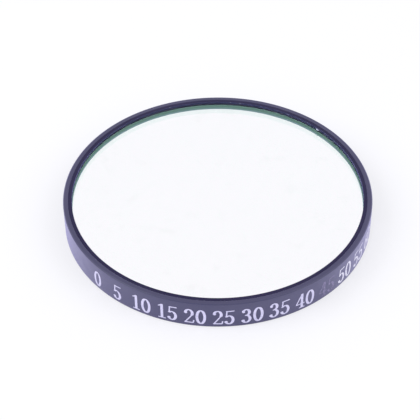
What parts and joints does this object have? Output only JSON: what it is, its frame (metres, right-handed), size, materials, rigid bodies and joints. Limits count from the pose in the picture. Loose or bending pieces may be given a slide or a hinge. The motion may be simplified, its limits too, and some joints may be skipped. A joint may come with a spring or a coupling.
{
  "type": "optical bandpass filter",
  "caption": "Round optical bandpass filter: a cemented stack of coated and coloured glass plates in a thin black turned cell ring.",
  "frame": {"origin": "centre of the rear face of the cell ring, which it rests on", "axes": "+Z along the optical axis, out of the front face"},
  "size_m": [0.0508, 0.0508, 0.005],
  "materials": {
    "cell": "black anodised, satin",
    "retainer": "black anodised, matte",
    "clear_glass": "polished, with a faint greenish reflection",
    "mirror_coating": "interference coating on the front face",
    "red_glass": "deep red absorbing glass, polished",
    "cement": "clear optical cement",
    "black_epoxy": "cast black epoxy"
  },
  "bodies": {
    "root": {"cell_ring": "cell", "retaining_ring": "retainer", "cover_glass": "clear_glass", "front_cement": "cement", "bandpass_glass": "mirror_coating", "middle_cement": "cement", "blocking_glass": "red_glass", "rear_cement": "cement", "rear_glass": "clear_glass", "edge_seal": "black_epoxy"}
  },
  "joints": []
}
